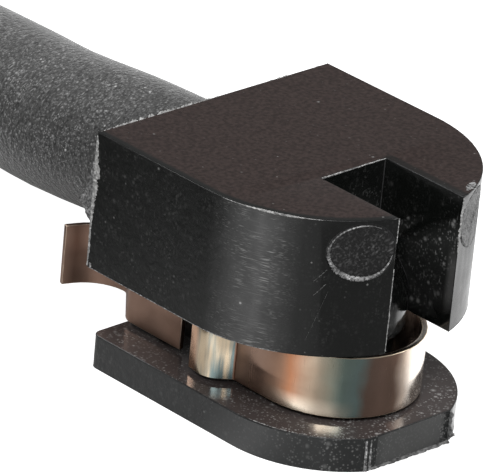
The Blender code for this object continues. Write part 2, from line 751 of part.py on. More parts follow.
# Seal: a soft block with ribs round it and a hole for each core
seal_back = housing_back + 4 * FIT
seal = plate(
    "plug_seal",
    rounded_rectangle(inner_width - 4 * FIT - 2 * SEAL_RIB, inner_height - 4 * FIT - 2 * SEAL_RIB, inner_corner),
    seal_back,
    seal_back + SEAL_LENGTH,
)
for i in range(SEAL_RIBS):
    rib_back = seal_back + SEAL_LENGTH * (i + 0.5) / SEAL_RIBS - SEAL_RIB
    rib_outline = rounded_rectangle(inner_width - 4 * FIT, inner_height - 4 * FIT, inner_corner)
    rib = plate("seal_rib_" + str(i + 1), rib_outline, rib_back, rib_back + 2 * SEAL_RIB)
    combine(seal, add_tool(rib, plug_place), "UNION")
for side, sign in (("left", -1.0), ("right", 1.0)):
    x = sign * TERMINAL_PITCH / 2
    hole = rod(
        "seal_hole_" + side,
        CORE_DIAMETER / 2 + FIT,
        (x, 0, seal_back - SEAL_LENGTH),
        (x, 0, seal_back + 2 * SEAL_LENGTH),
    )
    combine(seal, add_tool(hole, plug_place), "DIFFERENCE")
add_part(seal, seal_silicone, plug_place)

# Lock plate on the hood's floor, through which the pins stand
lock = plate(
    "plug_terminal_lock",
    rounded_rectangle(inner_width - 4 * FIT, inner_height - 4 * FIT, inner_corner),
    web_front + FIT,
    web_front + FIT + LOCK_THICKNESS,
)
for side, sign in (("left", -1.0), ("right", 1.0)):
    x = sign * TERMINAL_PITCH / 2
    hole = rod(
        "lock_hole_" + side,
        PIN_DIAMETER / 2 + FIT,
        (x, 0, web_front - LOCK_THICKNESS),
        (x, 0, web_front + 3 * LOCK_THICKNESS),
    )
    combine(lock, add_tool(hole, plug_place), "DIFFERENCE")
add_part(lock, lock_plastic, plug_place)

# Terminals, and the cores that are crimped into their barrels
lead_end = plug_in + FIT
bore_radius = CONDUCTOR_DIAMETER / 2 + FIT
bore_depth = 0.6 * BARREL_LENGTH
pin_radius = PIN_DIAMETER / 2
for side, sign in (("left", -1.0), ("right", 1.0)):
    x = sign * TERMINAL_PITCH / 2
    tip = [
        (pin_radius * math.sin(t), pin_tip - pin_radius * (1.0 - math.cos(t)))
        for t in (math.radians(90.0 * i / 5) for i in range(6))
    ]
    terminal_profile = tip + [
        (pin_radius, barrel_front),
        (BARREL_DIAMETER / 2, barrel_front),
        (BARREL_DIAMETER / 2, barrel_back),
        (bore_radius, barrel_back),
        (bore_radius, barrel_back + bore_depth),
        (0.0, barrel_back + bore_depth),
    ]
    terminal = turned("plug_terminal_" + side, terminal_profile)
    terminal.location.x = x
    add_part(smooth_sides(terminal), crimp_brass, plug_place)
    insulation = turned(
        "plug_insulation_" + side,
        ring_profile(bore_radius, CORE_DIAMETER / 2, lead_end, barrel_back - 2 * FIT),
        closed=True,
    )
    insulation.location.x = x
    add_part(smooth_sides(insulation), core_colors[side], plug_place)
    strand = rod(
        "plug_conductor_" + side,
        CONDUCTOR_DIAMETER / 2,
        (x, 0, lead_end),
        (x, 0, barrel_back + bore_depth - FIT),
        16,
    )
    add_part(smooth_sides(strand), bare_copper, plug_place)
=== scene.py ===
"""The looks of a brake pad wear sensor: finishes, the lead at its real length, light and camera."""

import math
import random

import bmesh
import bpy
from mathutils import Matrix, Vector


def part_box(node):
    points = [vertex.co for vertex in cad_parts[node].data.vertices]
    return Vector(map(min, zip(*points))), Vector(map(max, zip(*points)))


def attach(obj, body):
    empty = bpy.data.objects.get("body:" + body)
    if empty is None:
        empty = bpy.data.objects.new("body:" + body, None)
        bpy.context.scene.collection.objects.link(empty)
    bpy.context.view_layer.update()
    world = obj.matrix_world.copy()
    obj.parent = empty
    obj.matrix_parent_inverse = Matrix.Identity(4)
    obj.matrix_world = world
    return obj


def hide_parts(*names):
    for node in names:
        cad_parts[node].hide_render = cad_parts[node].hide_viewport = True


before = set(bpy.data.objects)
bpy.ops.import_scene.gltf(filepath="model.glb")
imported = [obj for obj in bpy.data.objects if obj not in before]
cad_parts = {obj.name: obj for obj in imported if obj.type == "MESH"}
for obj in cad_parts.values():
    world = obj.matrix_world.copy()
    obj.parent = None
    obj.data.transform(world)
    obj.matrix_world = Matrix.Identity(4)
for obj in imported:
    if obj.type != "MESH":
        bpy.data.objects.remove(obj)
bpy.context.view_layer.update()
MM = 0.001

# Camera: the photograph was taken from the front left, a little above, through a long lens.
# The picture shows the head and the first 11 mm of its lead.
head_low, head_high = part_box("head_moulding")
flange_reach = 0.52 * MM
back_y = head_high[1] - flange_reach
block_top = head_high[2]
camera_place = Vector((0.0, back_y, block_top)) + Vector((-132.90, -132.10, 82.12)) * MM
camera_forward = Vector((0.6478, 0.6339, -0.4225)).normalized()
camera_right = Vector((0.7249, -0.6833, 0.0862))
camera_up = camera_right.cross(camera_forward).normalized()
camera_right = camera_forward.cross(camera_up)
camera_data = bpy.data.cameras.new("photo_camera")
camera_data.sensor_width = 36.0
camera_data.sensor_fit = "HORIZONTAL"
camera_data.lens = 433.3
camera_data.clip_start = 10 * MM
camera_data.clip_end = 20.0
camera = bpy.data.objects.new("photo_camera", camera_data)
bpy.context.scene.collection.objects.link(camera)
camera_turn = Matrix((camera_right, camera_up, -camera_forward)).transposed().to_4x4()
camera.matrix_world = Matrix.Translation(camera_place) @ camera_turn
bpy.context.scene.camera = camera
bpy.context.scene.view_settings.view_transform = "Standard"


# Lead: a round rubber sheath over two cores. It leaves the head, sinks to the surface and
# is put away in a coil of three and a half turns, two inward and the rest on top of them.
# Its sheath is dusty and finely scuffed all over.
lead_diameter = 5.3 * MM
lead_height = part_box("head_conductor_left")[0][2] + 0.35 * MM
coil_radius = 32.6 * MM
coil_forward = 34.0 * MM
turn_pitch = lead_diameter + 0.05 * MM
coil_floor = lead_diameter / 2 + 0.05 * MM
inward_turns, climb_turns, outward_turns = 2.0, 0.25, 1.25
plug_height = 5.0 * MM
route_points = [
    (0.0, 7.5 * MM, 5.98 * MM),
    (0.16 * MM, 11.0 * MM, 5.6 * MM),
    (0.72 * MM, 15.0 * MM, 5.24 * MM),
    (1.15 * MM, 19.5 * MM, 4.8 * MM),
    (1.1 * MM, 24.5 * MM, 4.03 * MM),
    (0.42 * MM, 29.5 * MM, 3.15 * MM),
]


def coil_point(turns):
    """The lead's centre after some turns of the coil, as in the part's source."""
    rise = min(1.0, max(0.0, (turns - inward_turns) / climb_turns))
    outward = max(0.0, turns - inward_turns - climb_turns)
    radius = coil_radius - turn_pitch * (min(turns, inward_turns) - outward)
    return (
        -coil_radius + radius * math.cos(2 * math.pi * turns),
        coil_forward + radius * math.sin(2 * math.pi * turns),
        coil_floor + turn_pitch * (0.5 - 0.5 * math.cos(math.pi * rise)),
    )


all_turns = inward_turns + climb_turns + outward_turns
leave = Vector(coil_point(all_turns))
tail_points = [
    (leave.x, leave.y - 20.0 * MM, 6.15 * MM),
    (leave.x, leave.y - 22.5 * MM, 5.55 * MM),
    (leave.x, leave.y - 25.5 * MM, 5.08 * MM),
    (leave.x, leave.y - 28.0 * MM, plug_height),
]


def smooth_line(points, steps):
    """Points on a smooth curve through chosen points."""
    knots = [Vector(p) for p in points]
    knots = [2 * knots[0] - knots[1], *knots, 2 * knots[-1] - knots[-2]]
    line = []
    for a, b, c, d in zip(knots, knots[1:], knots[2:], knots[3:]):
        slope, bend, twist = c - a, 2 * a - 5 * b + 4 * c - d, 3 * b - a - 3 * c + d
        for i in range(steps):
            t = i / steps
            line.append(0.5 * (2 * b + slope * t + bend * t**2 + twist * t**3))
    return line + [knots[-2]]


lead_exit = (0.0, back_y, lead_height)
lead_bend_start = (0.0, back_y + lead_diameter / 4, lead_height)
coil_steps = 24
coil_line = [coil_point(i / coil_steps) for i in range(int(all_turns * coil_steps) + 1)]
lead_line = [Vector(lead_exit)] + smooth_line([lead_bend_start, *route_points, *coil_line, *tail_points], 3)


def add_node(tree, kind, inputs=None, **settings):
    """A node with its settings, and its inputs given as values or as sockets to link."""
    made = tree.nodes.new(kind)
    for name, value in settings.items():
        setattr(made, name, value)
    for name, value in (inputs or {}).items():
        socket = made.inputs[name]
        if isinstance(value, bpy.types.NodeSocket):
            tree.links.new(value, socket)
        else:
            socket.default_value = value
    return made


def new_object(name, mesh):
    """An object for a mesh, in the scene."""
    made = bpy.data.objects.new(name, mesh)
    bpy.context.scene.collection.objects.link(made)
    return made


def settle(obj):
    """Turns an object with modifiers into a plain mesh."""
    graph = bpy.context.evaluated_depsgraph_get()
    plain = bpy.data.meshes.new_from_object(obj.evaluated_get(graph))
    obj.modifiers.clear()
    if obj.type == "MESH":
        obj.data = plain
        return obj
    name = obj.name
    bpy.data.objects.remove(obj, do_unlink=True)
    return new_object(name, plain)


def calc(tree, operation, a, b=0.0, clamp=False):
    """One arithmetic step."""
    return add_node(tree, "ShaderNodeMath", {0: a, 1: b}, operation=operation, use_clamp=clamp).outputs[0]


def calc_vector(tree, operation, a, b):
    """One step of vector arithmetic; b is a number where the vector is scaled."""
    second = "Scale" if operation == "SCALE" else 1
    return add_node(tree, "ShaderNodeVectorMath", {0: a, second: b}, operation=operation).outputs[0]


def number_inputs(tree, **usual):
    """Number inputs of a node group, with their usual values."""
    for name, value in usual.items():
        tree.interface.new_socket(name, in_out="INPUT", socket_type="NodeSocketFloat").default_value = value


def random_cells(group, place):
    """The distance to the nearest cell's point, and that cell's own random numbers."""
    cells = add_node(group, "ShaderNodeTexVoronoi", {"Vector": place, "Scale": 1.0}).outputs
    return cells["Distance"], add_node(group, "ShaderNodeSeparateColor", {0: cells["Color"]}).outputs


def chosen_dots(group, distance, far, close, chance, share):
    """1 close to the points of the cells whose chance is below the share, 0 far from them."""
    limits = {"Value": distance, 1: far, 2: close}
    near = add_node(group, "ShaderNodeMapRange", limits, interpolation_type="SMOOTHSTEP").outputs[0]
    return calc(group, "MULTIPLY", near, calc(group, "LESS_THAN", chance, share))


def speck_group():
    """Small round specks in cells of some size in mm; the mask is 1 on a speck."""
    group = bpy.data.node_groups.new("specks", "ShaderNodeTree")
    number_inputs(group, Cell=0.3, Share=0.3, Radius=0.3, Shift=0.0)
    group.interface.new_socket("Mask", in_out="OUTPUT", socket_type="NodeSocketFloat")
    given = add_node(group, "NodeGroupInput").outputs
    place = add_node(group, "ShaderNodeTexCoord").outputs["Object"]
    scaled_place = calc_vector(group, "SCALE", place, calc(group, "DIVIDE", 1000.0, given["Cell"]))
    offset = add_node(group, "ShaderNodeCombineXYZ", {0: given["Shift"], 1: given["Shift"]}).outputs[0]
    distance, chance = random_cells(group, calc_vector(group, "ADD", scaled_place, offset))
    size = calc(group, "MULTIPLY", given["Radius"], chance[1])
    mask = chosen_dots(group, distance, size, 0.0, chance[0], given["Share"])
    add_node(group, "NodeGroupOutput", {"Mask": mask})
    return group


def scuff_group():
    """Fine short lines along one direction; Along and Across are their size in mm."""
    group = bpy.data.node_groups.new("scuffs", "ShaderNodeTree")
    group.interface.new_socket("Turn", in_out="INPUT", socket_type="NodeSocketVector")
    number_inputs(group, Along=2.0, Across=0.05, Share=0.2, Waver=0.3)
    group.interface.new_socket("Mask", in_out="OUTPUT", socket_type="NodeSocketFloat")
    given = add_node(group, "NodeGroupInput").outputs
    place = add_node(group, "ShaderNodeTexCoord").outputs["Object"]
    turned_by = {"Vector": place, "Rotation": given["Turn"]}
    turned = add_node(group, "ShaderNodeVectorRotate", turned_by, rotation_type="EULER_XYZ").outputs[0]
    noise = add_node(group, "ShaderNodeTexNoise", {"Vector": place, "Scale": 700.0, "Detail": 1.0})
    swing = calc_vector(group, "SCALE", noise.outputs["Color"], given["Waver"])
    bent = calc_vector(group, "ADD", turned, calc_vector(group, "SCALE", swing, MM))
    along = calc(group, "DIVIDE", 1000.0, given["Along"])
    across = calc(group, "DIVIDE", 1000.0, given["Across"])
    stretch = add_node(group, "ShaderNodeCombineXYZ", {0: along, 1: across, 2: across}).outputs[0]
    distance, chance = random_cells(group, calc_vector(group, "MULTIPLY", bent, stretch))
    mask = chosen_dots(group, distance, 0.45, 0.1, chance[0], given["Share"])
    add_node(group, "NodeGroupOutput", {"Mask": calc(group, "MULTIPLY", mask, chance[1])})
    return group


specks, scuffs = speck_group(), scuff_group()


def start_material(name, roughness, metallic=0.0):
    """A new material: its node tree and its Principled shader."""
    made = bpy.data.materials.new(name)
    made.use_nodes = True
    shader = made.node_tree.nodes["Principled BSDF"]
    shader.inputs["Roughness"].default_value = roughness
    shader.inputs["Metallic"].default_value = metallic
    return made, made.node_tree, shader


def place_group(tree, group, **inputs):
    """The mask of a shared effect with this material's own values."""
    made = add_node(tree, "ShaderNodeGroup", node_tree=group)
    for name, value in inputs.items():
        made.inputs[name].default_value = value
    return made.outputs["Mask"]


def product(tree, value, *factors):
    """Values multiplied."""
    for factor in factors:
        value = calc(tree, "MULTIPLY", value, factor)
    return value


def largest(tree, value, *others):
    """The largest of some values."""
    for other in others:
        value = calc(tree, "MAXIMUM", value, other)
    return value


def strongest(tree, *layers):
    """The largest of some masks, each times its own share."""
    return largest(tree, *(product(tree, mask, share) for mask, share in layers))


def scaled(tree, value, factor, least):
    """A value times a factor, on top of a least value."""
    return calc(tree, "ADD", calc(tree, "MULTIPLY", value, factor), least)


def blend(tree, factor, a, b, mode="MIX"):
    """One colour laid over another."""
    made = add_node(tree, "ShaderNodeMix", {"Factor": factor}, data_type="RGBA", blend_type=mode)
    for socket, value in ((made.inputs[6], a), (made.inputs[7], b)):
        if isinstance(value, bpy.types.NodeSocket):
            tree.links.new(value, socket)
        else:
            socket.default_value = (*value, 1.0)
    return made.outputs[2]


def ramp(tree, value, start, end):
    """0 before the start, 1 past the end, and even between them."""
    return add_node(tree, "ShaderNodeMapRange", {"Value": value, 1: start, 2: end}).outputs[0]


def clouds(tree, size, detail=3.0, low=0.35, high=0.65):
    """Soft uneven patches of about this size in mm, from 0 to 1."""
    place = add_node(tree, "ShaderNodeTexCoord").outputs["Object"]
    noise = add_node(tree, "ShaderNodeTexNoise", {"Vector": place, "Scale": 1000.0 / size, "Detail": detail})
    return ramp(tree, noise.outputs[0], low, high)


def feed(shader, name, value):
    """Links a value to one of a shader's inputs."""
    shader.id_data.links.new(value, shader.inputs[name])


def add_bump(shader, height, strength, depth):
    """Fine relief in a shader's surface, over the relief that it already has."""
    inputs = {"Height": height, "Strength": strength, "Distance": depth}
    if shader.inputs["Normal"].is_linked:
        inputs["Normal"] = shader.inputs["Normal"].links[0].from_socket
    feed(shader, "Normal", add_node(shader.id_data, "ShaderNodeBump", inputs).outputs[0])


lead_rubber, tree, shader = start_material("dusty_rubber", 0.6)
shader.inputs["Sheen Weight"].default_value = 1.0
shader.inputs["Sheen Roughness"].default_value = 0.35
shader.inputs["Specular IOR Level"].default_value = 0.35
fine_dust = place_group(tree, specks, Cell=0.09, Share=0.85, Radius=0.9)
middle_dust = place_group(tree, specks, Cell=0.16, Share=0.5, Radius=0.6, Shift=5.0)
coarse_dust = place_group(tree, specks, Cell=0.45, Share=0.3, Radius=0.22, Shift=7.0)
short_marks = place_group(tree, scuffs, Turn=(0.0, 0.0, 0.9), Along=0.5, Across=0.08, Share=0.45, Waver=0.5)
cross_marks = place_group(tree, scuffs, Turn=(0.0, 0.9, 0.3), Along=0.45, Across=0.08, Share=0.4, Waver=0.5)
long_marks = place_group(tree, scuffs, Turn=(0.3, 0.0, -0.4), Along=1.6, Across=0.06, Share=0.08)
light = strongest(tree, (fine_dust, 0.30), (short_marks, 0.34), (middle_dust, 0.6), (cross_marks, 0.5))
light = product(tree, light, scaled(tree, clouds(tree, 1.8, 4.0), 0.45, 0.55))
light = largest(tree, light, coarse_dust, product(tree, long_marks, 0.5))
grey = blend(tree, clouds(tree, 0.12, 3.0), (0.016, 0.016, 0.016), (0.062, 0.062, 0.061))
feed(shader, "Base Color", blend(tree, light, grey, (0.60, 0.60, 0.60)))
add_bump(shader, scaled(tree, clouds(tree, 0.2, 4.0), 0.6, light), 0.7, 0.04 * MM)


def tube_tree(material):
    """Geometry Nodes that sweep a round section along a curve, with a slightly uneven wall."""
    made = bpy.data.node_groups.new("swept_tube", "GeometryNodeTree")
    made.interface.new_socket("Geometry", in_out="INPUT", socket_type="NodeSocketGeometry")
    number_inputs(made, Radius=lead_diameter / 2, Unevenness=0.0)
    made.interface.new_socket("Geometry", in_out="OUTPUT", socket_type="NodeSocketGeometry")
    given = add_node(made, "NodeGroupInput").outputs
    ring = add_node(made, "GeometryNodeCurvePrimitiveCircle", {"Resolution": 40, "Radius": given["Radius"]})
    sweep = {"Curve": given["Geometry"], "Profile Curve": ring.outputs[0], "Fill Caps": True}
    tube = add_node(made, "GeometryNodeCurveToMesh", sweep).outputs[0]
    noise = add_node(made, "ShaderNodeTexNoise", {"Scale": 160.0, "Detail": 1.0}).outputs[0]
    swell = product(made, calc(made, "SUBTRACT", noise, 0.5), given["Unevenness"])
    push = calc_vector(made, "SCALE", add_node(made, "GeometryNodeInputNormal").outputs[0], swell)
    pushed = add_node(made, "GeometryNodeSetPosition", {"Geometry": tube, "Offset": push}).outputs[0]
    smooth = add_node(made, "GeometryNodeSetShadeSmooth", {"Geometry": pushed}).outputs[0]
    whole = add_node(made, "GeometryNodeRealizeInstances", {"Geometry": smooth}).outputs[0]
    done = add_node(made, "GeometryNodeSetMaterial", {"Geometry": whole, "Material": material}).outputs[0]
    add_node(made, "NodeGroupOutput", {"Geometry": done})
    return made


def set_input(modifier, name, value):
    """Sets a Geometry Nodes input by its name's identifier."""
    for item in modifier.node_group.interface.items_tree:
        if item.in_out == "INPUT" and item.name == name:
            modifier[item.identifier] = value


def swept(name, line, radius, material, unevenness=0.0):
    """A tube along a line of points, as a plain mesh object."""
    curve = bpy.data.curves.new(name, "CURVE")
    curve.dimensions = "3D"
    spline = curve.splines.new("POLY")
    spline.points.add(len(line) - 1)
    for point, place in zip(spline.points, line):
        point.co = (*place, 1.0)
    made = new_object(name, curve)
    modifier = made.modifiers.new("sweep", "NODES")
    modifier.node_group = tube_tree(material)
    set_input(modifier, "Radius", radius)
    set_input(modifier, "Unevenness", unevenness)
    return settle(made)


lead = swept("lead", lead_line, lead_diameter / 2, lead_rubber, 0.10 * MM)
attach(lead, "root")
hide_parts("lead_tube", "lead_coil", "lead_tail")


# Head moulding: one shot of black glass filled nylon round the cores and the sensing wire.
# Its edges are sharp, with painted highlights, its flat top is painted brown for its sheen, its nose has a
# painted highlight band scratched from rubbing, and its slot and flange are dusty.
def dressed_copy(node, material, edge_material, edge):
    """A welded, smooth shaded copy of a CAD solid with fine rounded edges."""
    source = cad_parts[node]
    shape = bmesh.new()
    shape.from_mesh(source.data)
    bmesh.ops.remove_doubles(shape, verts=shape.verts, dist=0.001 * MM)
    flat_enough = math.radians(0.5)
    bmesh.ops.dissolve_limit(shape, angle_limit=flat_enough, verts=shape.verts, edges=shape.edges)
    mesh = bpy.data.meshes.new(node + "_finish")
    shape.to_mesh(mesh)
    shape.free()
    mesh.materials.clear()
    mesh.materials.append(material)
    mesh.materials.append(edge_material)
    made = new_object(node + "_finish", mesh)
    if edge:
        bevel = made.modifiers.new("edges", "BEVEL")
        bevel.width = edge
        bevel.segments = 2
        bevel.limit_method = "ANGLE"
        bevel.angle_limit = math.radians(40.0)
        bevel.use_clamp_overlap = False
        bevel.material = 1
        bevel.harden_normals = False
    made = settle(made)
    made.data.shade_smooth()
    made.data.set_sharp_from_angle(angle=math.radians(38.0))
    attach(made, "root")
    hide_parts(node)
    return made


nose_radius = 5.5 * MM
nose_y = head_low[1] - 0.1 * MM
nose_centre_y = nose_y + nose_radius
block_bottom = block_top - 5.1 * MM
slot_half = 1.53 * MM
slot_end = nose_y + 4.0 * MM
flange_top = 1.27 * MM


def between(tree, value, rise, fall):
    """1 between two spans of a value: it climbs over the first and drops over the second."""
    return calc(tree, "SUBTRACT", ramp(tree, value, *rise), ramp(tree, value, *fall), clamp=True)


def within(tree, value, low, high, soft):
    """1 where a value lies between two limits, fading over a soft width."""
    return between(tree, value, (low - soft, low + soft), (high - soft, high + soft))


def above(tree, value, limit, soft):
    """1 where a value is above a limit, fading over a soft width."""
    return ramp(tree, value, limit - soft, limit + soft)


def below(tree, value, limit, soft):
    """1 where a value is below a limit, fading over a soft width."""
    return ramp(tree, value, limit + soft, limit - soft)


def flipped(tree, mask):
    """1 where a mask is 0, and the other way round."""
    return calc(tree, "SUBTRACT", 1.0, mask)


def own_place(tree):
    """The place on the object, as its x, y and z."""
    place = add_node(tree, "ShaderNodeTexCoord").outputs["Object"]
    return add_node(tree, "ShaderNodeSeparateXYZ", {0: place}).outputs


def black_plastic(name, roughness):
    """Black nylon: its flat top painted brown for its sheen, dusty in its slot, with a painted highlight
    band scratched from rubbing on its nose.
    """
    made, tree, shader = start_material(name, roughness)
    x, y, z = own_place(tree)
    faces = add_node(tree, "ShaderNodeNewGeometry").outputs["Normal"]
    facing = add_node(tree, "ShaderNodeSeparateXYZ", {0: faces}).outputs
    upward = above(tree, facing[2], 0.9, 0.06)
    sides = flipped(tree, upward)
    on_block = above(tree, z, block_bottom - 0.2 * MM, 0.05 * MM)
    on_flange = flipped(tree, on_block)
    low_top = product(tree, upward, on_flange)
    low_sides = calc(tree, "SUBTRACT", on_flange, low_top)

    # The top stays black along the nose's rim on the left and beside the slot on the right.
    ahead = largest(tree, calc(tree, "SUBTRACT", nose_centre_y, y), 0.0)
    reach = calc(tree, "SQRT", calc(tree, "ADD", product(tree, x, x), product(tree, ahead, ahead)))
    rim_band = above(tree, reach, nose_radius - 0.26 * MM, 0.07 * MM)
    rim_band = product(tree, rim_band, below(tree, x, 0.0, 0.6 * MM))
    slot_band = within(tree, x, slot_half - 0.05 * MM, slot_half + 0.34 * MM, 0.06 * MM)
    slot_band = product(tree, slot_band, below(tree, y, slot_end + 0.1 * MM, 0.1 * MM))
    dark_band = largest(tree, rim_band, product(tree, slot_band, 0.8))
    top = product(tree, upward, on_block, flipped(tree, dark_band))

    # The slot's flat walls are dusty, and the post in it has rounder faces and stays clean.
    slot_reach = slot_half + 0.03 * MM
    in_slot = product(tree, within(tree, x, -slot_reach, slot_reach, 0.02 * MM), sides)
    in_slot = product(tree, in_slot, below(tree, y, slot_end + 0.1 * MM, 0.05 * MM))
    walls = largest(tree, calc(tree, "ABSOLUTE", facing[0]), calc(tree, "ABSOLUTE", facing[1]))
    on_post = product(tree, in_slot, below(tree, walls, 0.98, 0.01))
    in_slot = calc(tree, "SUBTRACT", in_slot, on_post, clamp=True)
    high_up = above(tree, z, block_top - 2.4 * MM, 0.7 * MM)

    # A painted highlight band lies across both sides of the nose's front, scratched from rubbing, and the
    # sides are rougher towards the lead.
    aside = calc(tree, "ABSOLUTE", x)
    nose_turn = calc(tree, "ARCTAN2", calc(tree, "SUBTRACT", nose_centre_y, y), aside)
    rubbed_and_highlight_band = product(tree, between(tree, nose_turn, (0.06, 0.42), (0.42, 0.70)), sides, on_block)
    rough_end = product(tree, above(tree, y, -2.2 * MM, 1.6 * MM), sides)
    at_gate = product(tree, on_flange, below(tree, y, -5.6 * MM, 0.9 * MM))

    small = place_group(tree, specks, Cell=0.4, Share=0.2, Radius=0.22)
    bright = place_group(tree, specks, Cell=0.9, Share=0.3, Radius=0.10, Shift=2.0)
    tiny = place_group(tree, specks, Cell=0.16, Share=0.16, Radius=0.35, Shift=3.0)
    powder = place_group(tree, specks, Cell=0.09, Share=0.8, Radius=0.8, Shift=9.0)
    chips = place_group(tree, specks, Cell=0.3, Share=0.5, Radius=0.5, Shift=4.0)
    clumps = place_group(tree, specks, Cell=0.22, Share=0.45, Radius=0.55, Shift=6.0)
    lying = place_group(tree, scuffs, Turn=(0.0, 0.0, 1.17), Along=1.1, Across=0.05, Share=0.75, Waver=0.08)
    fine = place_group(tree, scuffs, Turn=(0.0, 0.0, 1.17), Along=0.6, Across=0.03, Share=0.8, Waver=0.08)
    steep = place_group(tree, scuffs, Turn=(0.0, 1.5, 0.0), Along=0.45, Across=0.07, Share=0.3, Waver=0.6)
    patches = clouds(tree, 0.9, 4.0)

    # Painted sheen: the flat top's brown stands in for the reddish-brown sheen that the top shows.
    top_sheen_color = blend(tree, clouds(tree, 0.14, 4.0), (0.0150, 0.0070, 0.0055), (0.0390, 0.0240, 0.0210))
    color = blend(tree, top, (0.0035, 0.0040, 0.0036), top_sheen_color)
    color = blend(tree, low_top, color, (0.062, 0.051, 0.049))
    color = blend(tree, low_sides, color, (0.024, 0.025, 0.025))
    color = blend(tree, product(tree, in_slot, high_up), color, (0.014, 0.015, 0.014))
    # Painted highlight: the nose's band is lightened evenly, in soft patches.
    highlight_haze = product(tree, rubbed_and_highlight_band, scaled(tree, patches, 0.5, 0.5))
    color = blend(tree, highlight_haze, color, (0.062, 0.062, 0.062))

    scratches = product(tree, rubbed_and_highlight_band, largest(tree, lying, product(tree, fine, 0.7)))
    worn = product(tree, scratches, scaled(tree, clouds(tree, 2.2, 2.0), 0.9, 0.2))
    dust = largest(tree, product(tree, powder, 0.5), chips, steep)
    dust = product(tree, dust, scaled(tree, patches, 0.6, 0.4), in_slot, scaled(tree, high_up, 0.6, 0.22))
    nicks = strongest(tree, (chips, 0.6), (steep, 0.45), (clumps, 0.5), (powder, 0.4))
    nicks = product(tree, nicks, patches, strongest(tree, (rough_end, 0.24), (sides, 0.09)))
    low_share = scaled(tree, low_top, 0.32, product(tree, at_gate, 0.26))
    low_share = scaled(tree, on_flange, 0.08, low_share)
    low_dust = product(tree, largest(tree, powder, chips), scaled(tree, patches, 0.7, 0.3), low_share)
    wall_rim = product(tree, in_slot, below(tree, y, nose_centre_y - 4.95 * MM, 0.12 * MM))
    wall_rim = product(tree, wall_rim, below(tree, z, block_top - 2.3 * MM, 0.4 * MM))
    wall_rim = product(tree, wall_rim, scaled(tree, powder, 0.06, 0.10))
    light = strongest(tree, (small, 0.38), (tiny, 0.10), (bright, 0.9))
    light = largest(tree, light, worn, dust, nicks, low_dust, wall_rim)
    feed(shader, "Base Color", blend(tree, light, color, (0.55, 0.55, 0.54)))

    rough = scaled(tree, clouds(tree, 0.7, 5.0), 0.08, roughness - 0.04)
    layers = ((on_flange, -0.12), (rough_end, 0.2), (in_slot, 0.3), (on_post, -0.12), (light, 0.5))
    for layer, share in layers:
        rough = calc(tree, "ADD", rough, product(tree, layer, share), clamp=True)
    feed(shader, "Roughness", rough)
    grain = product(tree, clouds(tree, 0.3, 5.0), scaled(tree, rough_end, 0.9, 0.1))
    add_bump(shader, calc(tree, "SUBTRACT", grain, product(tree, scratches, 0.7)), 0.35, 0.03 * MM)
    return made


head_plastic = black_plastic("head_nylon", 0.26)
# Painted highlight: the faces of the rounded edges are lighter than the black sides.
edge_highlight, tree, shader = start_material("head_edge_highlight", 0.35)
edge_light = product(tree, clouds(tree, 0.5, 4.0), 0.7)
feed(shader, "Base Color", blend(tree, edge_light, (0.006, 0.006, 0.006), (0.035, 0.035, 0.036)))
head = dressed_copy("head_moulding", head_plastic, edge_highlight, 0.03 * MM)


# Moulding flash: thin ragged fins of the same nylon where the mould halves met, along the
# block's back edges, round the pin marks, down the slot's edge and at the gate in the flange.
def dress_nylon(shader, frost, dark, light, grain, strength, depth):
    """Colours torn nylon where it is frosted, and gives it a grain."""
    feed(shader, "Base Color", blend(shader.id_data, frost, dark, light))
    add_bump(shader, grain, strength, depth)


flash_nylon, tree, shader = start_material("frosted_flash", 0.45)
frost = largest(tree, clouds(tree, 0.12, 4.0), product(tree, clouds(tree, 0.5), 0.6))
grain = clouds(tree, 0.1, 4.0)
dress_nylon(shader, frost, (0.06, 0.06, 0.06), (0.62, 0.62, 0.61), grain, 0.8, 0.03 * MM)
rough_patch, tree, shader = start_material("torn_nylon", 0.55)
frost = scaled(tree, clouds(tree, 0.14, 5.0), 0.7, product(tree, clouds(tree, 0.6), 0.3))
grain = clouds(tree, 0.12, 5.0)
dress_nylon(shader, frost, (0.02, 0.02, 0.02), (0.28, 0.28, 0.28), grain, 1.0, 0.04 * MM)
dull_flash, tree, shader = start_material("dull_flash", 0.5)
frost = product(tree, clouds(tree, 0.09, 4.0), scaled(tree, clouds(tree, 0.7), 0.8, 0.2))
grain = clouds(tree, 0.1, 4.0)
dress_nylon(shader, frost, (0.05, 0.05, 0.05), (0.60, 0.60, 0.60), grain, 0.8, 0.03 * MM)
flash_parts, dull_parts = bmesh.new(), bmesh.new()
chance = random.Random(7)


def level(stops, t):
    """Reads a line through (place, height) stops."""
    for (a, low), (b, high) in zip(stops, stops[1:]):
        if t <= b:
            return low + (high - low) * max(0.0, (t - a) / (b - a))
    return stops[-1][1]


def flash_strip(shape, line, outward, sideways, stops, thickness, ragged=0.35):
    """A fin along a line: its height follows the stops, in mm along the line, with a torn rim."""
    rings, run, drift = [], 0.0, 0.0
    for i, place in enumerate(line):
        if i:
            run += (place - line[i - 1]).length / MM
        drift = 0.6 * drift + chance.uniform(-1.0, 1.0) * ragged
        height = max(0.004, level(stops, run) * (1.0 + drift)) * MM
        out = outward(place) if callable(outward) else outward
        side = sideways(place) if callable(sideways) else sideways
        thick = (level(thickness, run) if isinstance(thickness, list) else thickness) * MM
        half = side * (thick / 2 * chance.uniform(0.7, 1.3))
        sunk = place - out * (0.02 * MM)
        tip = place + out * height + side * (thick * drift * 0.3)
        shoulder = place + out * (height * 0.6)
        near_side = [sunk - half, shoulder - half * 0.8, tip - half * 0.2]
        far_side = [tip + half * 0.2, shoulder + half * 0.8, sunk + half]
        rings.append([shape.verts.new(corner) for corner in near_side + far_side])
    for a, b in zip(rings, rings[1:]):
        for k in range(len(a)):
            n = (k + 1) % len(a)
            shape.faces.new((a[k], a[n], b[n], b[k]))
    shape.faces.new(rings[0][::-1])
    shape.faces.new(rings[-1])


def straight(start, end, steps):
    """Even points on a straight line."""
    start, end = Vector(start), Vector(end)
    return [start.lerp(end, i / steps) for i in range(steps + 1)]


